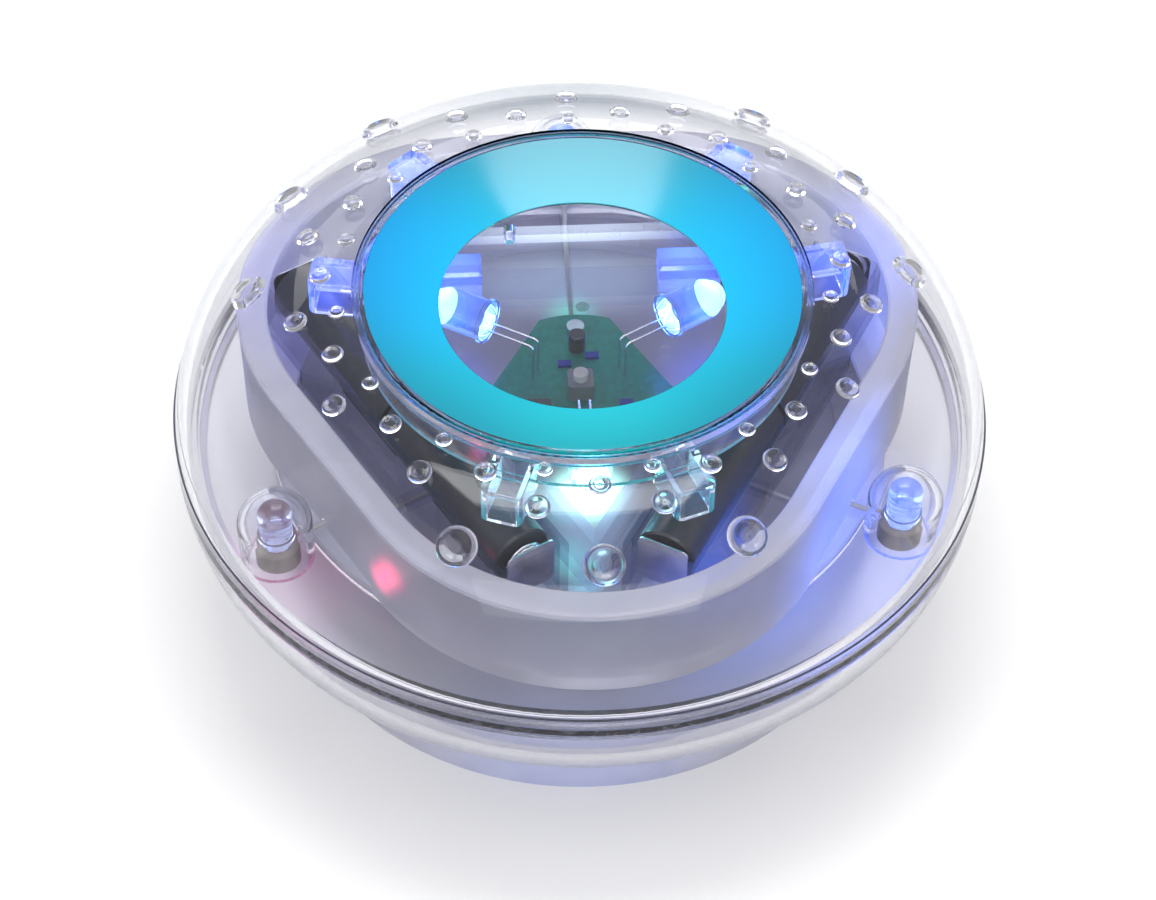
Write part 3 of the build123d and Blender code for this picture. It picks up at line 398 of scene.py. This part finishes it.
def frosted(name, glows, light, dark, transmission, shadow):
    """Frosted plastic that lets light through and shows no clear picture behind it; its glows are painted light of
    the lamps.
    """
    material, tree, output = new_material(name)
    shader = principled(tree, Roughness=0.38, IOR=1.45, Transmission_Weight=transmission, Emission_Strength=1.0)
    mottle = noise(tree, 90.0)
    tree.links.new(ramp(tree, mottle, [(0.35, dark), (0.65, light)]), shader.inputs["Base Color"])
    tree.links.new(bump(tree, noise(tree, 1500.0), 0.25, 0.0002), shader.inputs["Normal"])
    tree.links.new(add_glows(tree, glows), shader.inputs["Emission Color"])
    see_through(tree, output, shader, shadow)
    return material


# painted light on the tub: a faint glow all over, blue glows of the lamps, and two small painted red glints of the
# red pod lamp
tub_glows = [
    (polar(0, 0, 60), 0.20, (0.03, 0.03, 0.05)),
    (polar(72, 325, 58), 0.040, (0.02, 0.07, 0.42)),
    (polar(76, 20, 62), 0.035, (0.03, 0.06, 0.30)),
    (polar(76, 160, 62), 0.040, (0.02, 0.02, 0.12)),
    (polar(70.5, 230.0, 58.0), 0.0065, (1.30, 0.06, 0.22)),
    (polar(70.5, 232.5, 62.5), 0.0065, (1.30, 0.06, 0.22)),
]
paint(
    frosted("tub_frosted", tub_glows, (0.80, 0.80, 0.85), (0.72, 0.72, 0.78), 0.70, (0.80, 0.80, 0.83)),
    "battery_tub", "tub_rim",
)
# painted light on the skirt: a faint glow all over and blue glows of the lamps
skirt_glows = [
    (polar(0, 0, 30), 0.16, (0.02, 0.02, 0.03)),
    (polar(72, 300, 40), 0.040, (0.02, 0.05, 0.18)),
    (polar(72, 265, 4), 0.050, (0.005, 0.02, 0.09)),
]
paint(
    frosted("skirt_frosted", skirt_glows, (0.70, 0.70, 0.79), (0.62, 0.62, 0.72), 0.5, (0.72, 0.72, 0.75)),
    "base_skirt", "battery_door", "door_seat",
)

ring_material, ring_tree, ring_shader = simple(
    "ring_teal", (0.0, 0.13, 0.20), roughness=0.3, grain=30.0, spread=0.03, Specular_IOR_Level=0.15,
    Coat_Weight=0.75, Coat_Roughness=0.10, Emission_Strength=1.0,
)
# the ring's own colour is the dark teal; its glows are painted light of the lamps underneath: teal all over, blue at
# the sides, green at the front
ring_tree.links.new(
    add_glows(ring_tree, [
        (polar(0, 0, 88), 0.09, (0.0, 0.52, 0.66)),
        (polar(44, 165, 90), 0.050, (0.0, 0.02, 0.36)),
        (polar(44, 12, 90), 0.050, (0.0, 0.04, 0.34)),
        (polar(42, 270, 88), 0.035, (0.0, 0.12, 0.06)),
    ]),
    ring_shader.inputs["Emission Color"],
)
paint(ring_material, "button_ring")

cells, _, _ = simple("cell_sleeve", (0.035, 0.04, 0.055), roughness=0.3, grain=600.0, spread=0.2)
paint(cells, "cell_1", "cell_2", "cell_3", "cell_4")
board, _, _ = simple("board_green", (0.0, 0.24, 0.20), roughness=0.35, grain=500.0, spread=0.2)
paint(board, "main_board")
black, _, _ = simple("package_black", (0.02, 0.02, 0.025), roughness=0.4)
paint(black, "control_chip", "storage_capacitor")
switch_grey, _, _ = simple("switch_grey", (0.25, 0.27, 0.30), roughness=0.4)
paint(switch_grey, "switch_body")
acetal, _, _ = simple("plunger_white", (0.85, 0.85, 0.86), roughness=0.4)
paint(acetal, "switch_plunger")
blue_part, _, _ = simple("part_blue", (0.01, 0.03, 0.35), roughness=0.3)
paint(blue_part, "resistors")
steel, _, _ = simple("bright_metal", (0.75, 0.75, 0.78), roughness=0.2, metallic=1.0)
paint(steel, "board_screws", "door_screws", "contact_plates", "contact_spring_1", "contact_spring_2", "switch_spring",
      "pod_legs_1", "pod_legs_2", "pod_legs_3", "board_led_legs_1", "board_led_legs_2", "board_led_legs_3")
brass, _, _ = simple("insert_brass", (0.65, 0.45, 0.18), roughness=0.3, metallic=1.0)
paint(brass, "screw_inserts")
gasket, _, _ = simple("gasket_dark", (0.22, 0.22, 0.30), roughness=0.5)
paint(gasket, "seam_gasket", "door_gasket")
foam, _, _ = simple("pad_foam", (0.05, 0.05, 0.055), roughness=0.95, depth=0.0003)
paint(foam, "door_pads")
beige, _, _ = simple("holder_beige", (0.42, 0.36, 0.33), roughness=0.5)
paint(beige, "pod_holder_1", "pod_holder_2", "pod_holder_3")
jacket, _, _ = simple("wire_white", (0.75, 0.75, 0.78), roughness=0.4)
paint(jacket, "pod_wire_1", "pod_wire_2", "pod_wire_3")


def lamp(name, color, strength, centre, core):
    """A clear epoxy lens that glows in its colour, with a white core where the light is strongest."""
    lights = [(centre, 0.012, color), (core, 0.0045, (0.9, 0.95, 1.0))]
    return clear_plastic(name, tint=(0.58, 0.72, 1.0), roughness=0.02, ior=1.4, glows=lights, strength=strength)


def spill(name, place, power, color):
    """The light that a lamp throws on what is around it."""
    data = bpy.data.lights.new(name, "POINT")
    data.energy = power
    data.color = color
    data.shadow_soft_size = 0.004
    light = bpy.data.objects.new(name, data)
    bpy.context.scene.collection.objects.link(light)
    light.location = place


POD_ORBIT = 81.2
BOARD_LAMPS = (
    # number, angle, glow, strength, thrown power, thrown colour
    (1, 30, BLUE, 0.75, 0.048, (0.08, 0.22, 1.0)),
    (2, 150, BLUE, 0.75, 0.048, (0.08, 0.22, 1.0)),
    (3, 270, MINT, 0.8, 0.018, (0.2, 1.0, 0.8)),
)
for number, angle, color, strength, power, thrown in BOARD_LAMPS:
    lens = lamp(f"lamp_lens_{number}", color, strength, polar(32, angle, 68), polar(36, angle, 71))
    paint(lens, f"board_led_{number}")
    spill(f"lamp_light_{number}", polar(36, angle, 68), power, thrown)
for number, angle, color, strength in ((1, 90, BLUE, 0.5), (2, 210, PINK, 0.05), (3, 330, BLUE, 0.35)):
    lens = lamp(f"pod_lens_{number}", color, strength, polar(POD_ORBIT, angle, 62), polar(POD_ORBIT, angle, 65))
    paint(lens, f"pod_led_{number}")


# ---------------------------------------------------------------- dome and its lens drops
DOME_CENTRE = 52.8            # millimetres; the dome's section is a quarter round about this radius
DOME_SECTION = 42.2
DOME_WALL = 2.8
SEAM_HEIGHT = 50.0
SHELL_RADIUS = 95.0
SEAM_BAND_TOP = 55.2          # the shell is upright from the seam up to here
HOLE_RADIUS = 52.3            # the round hole that the button sits in
CROWN_HEIGHT = 92.2
CROWN_UNDERSIDE = 89.4
DROP_SIDES = 36
DROP_LIFT = 0.03              # keeps a drop's flat foot clear of the dome


def mesh_piece(name, vertices, faces, material):
    mesh = bpy.data.meshes.new(name)
    mesh.from_pydata([tuple(c * MM for c in v) for v in vertices], [], faces)
    mesh.materials.append(material)
    piece = bpy.data.objects.new(name, mesh)
    bpy.context.scene.collection.objects.link(piece)
    mesh.shade_smooth()
    mesh.set_sharp_from_angle(angle=radians(32))
    return piece


def turned(name, profile, material, segments=240):
    """A closed profile of (radius, height) points turned about the axis."""
    vertices = [
        (r * cos(2 * pi * k / segments), r * sin(2 * pi * k / segments), z)
        for k in range(segments) for r, z in profile
    ]
    count = len(profile)
    faces = [
        (k * count + i, ((k + 1) % segments) * count + i,
         ((k + 1) % segments) * count + (i + 1) % count, k * count + (i + 1) % count)
        for k in range(segments) for i in range(count)
    ]
    return mesh_piece(name, vertices, faces, material)


def arc(radius, start, stop, steps):
    """Points of the dome's section, from one angle to another."""
    return [
        (DOME_CENTRE + radius * cos(radians(start + (stop - start) * i / steps)),
         SEAM_HEIGHT + radius * sin(radians(start + (stop - start) * i / steps)))
        for i in range(steps + 1)
    ]


def make_dome():
    inner = DOME_SECTION - DOME_WALL
    profile = [(SHELL_RADIUS - DOME_WALL, SEAM_HEIGHT), (SHELL_RADIUS, SEAM_HEIGHT), (SHELL_RADIUS, SEAM_BAND_TOP)]
    profile += arc(DOME_SECTION, 7.5, 90, 40)
    profile += [(HOLE_RADIUS, CROWN_HEIGHT), (HOLE_RADIUS, CROWN_UNDERSIDE)]
    profile += arc(inner, 90, 0.5, 40)
    return turned("dome_shell", profile, dome_material)


# a drop's section: share of its radius, rise as a share of its radius
DROP_SECTION = ((0.001, 0.20), (0.15, 0.195), (0.32, 0.19), (0.46, 0.22), (0.58, 0.27), (0.68, 0.31), (0.78, 0.32),
                (0.87, 0.27), (0.94, 0.18), (0.985, 0.07), (1.0, 0.0))


def make_drops():
    """Small lenses that lie on the dome, in rings: orbit, drop radius, count and the first one's angle."""
    rings = [(55.9, 1.95, 15, 90.0), (59.5, 2.5, 15, 102.0), (65.2, 2.8, 15, 90.0)]
    rings += [(76.2, 4.6, 3, 30.0 + turn) for turn in (-24, 0, 24)]
    vertices, faces = [], []
    steps, sides = len(DROP_SECTION) - 1, DROP_SIDES
    for orbit, radius, count, start in rings:
        share = (orbit - DOME_CENTRE) / DOME_SECTION
        for k in range(count):
            angle = radians(start + 360.0 * k / count)
            out = Vector((cos(angle), sin(angle), 0.0))
            normal = out * share + Vector((0, 0, sqrt(1 - share * share)))
            side = Vector((-sin(angle), cos(angle), 0.0))
            along = side.cross(normal)
            foot = out * DOME_CENTRE + Vector((0, 0, SEAM_HEIGHT)) + normal * (DOME_SECTION + DROP_LIFT)
            first = len(vertices)
            for share_out, rise in DROP_SECTION:
                for turn in range(sides):
                    swing = 2 * pi * turn / sides
                    place = foot + (side * cos(swing) + along * sin(swing)) * (radius * share_out)
                    vertices.append(tuple(place + normal * (radius * rise)))
            for step in range(steps):
                for turn in range(sides):
                    a, b = first + step * sides + turn, first + step * sides + (turn + 1) % sides
                    faces.append((a, b, b + sides, a + sides))
            faces.append(tuple(first + steps * sides + turn for turn in range(sides)))
    return mesh_piece("dome_drops", vertices, faces, drop_material)


# a painted shade deepens the dome's colour in a soft patch high up at its back
dome_material = clear_plastic("shell_clear", tint=(0.935, 0.937, 0.95), edge=(0.34, 0.37, 0.42), ior=1.35,
                              painted_shade=((0.62, 0.68, 0.72), ((0.0, 0.084, 0.082), 0.040, (1.6, 0.75, 0.75))))
drop_material = clear_plastic("drop_clear", tint=(0.97, 0.97, 0.98), edge=(0.55, 0.57, 0.62), ior=1.45)
dome = make_dome()
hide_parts("upper_dome")
for shell_piece in (dome, make_drops()):
    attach(shell_piece, "housing")


# ---------------------------------------------------------------- render look
scene = bpy.context.scene
scene.view_settings.view_transform = "Standard"
scene.cycles.use_denoising = True
scene.cycles.max_bounces = 24
scene.cycles.transmission_bounces = 24
scene.cycles.transparent_max_bounces = 24
scene.cycles.glossy_bounces = 8
scene.cycles.diffuse_bounces = 4
scene.cycles.caustics_reflective = False
scene.cycles.caustics_refractive = False
scene.cycles.sample_clamp_indirect = 4.0
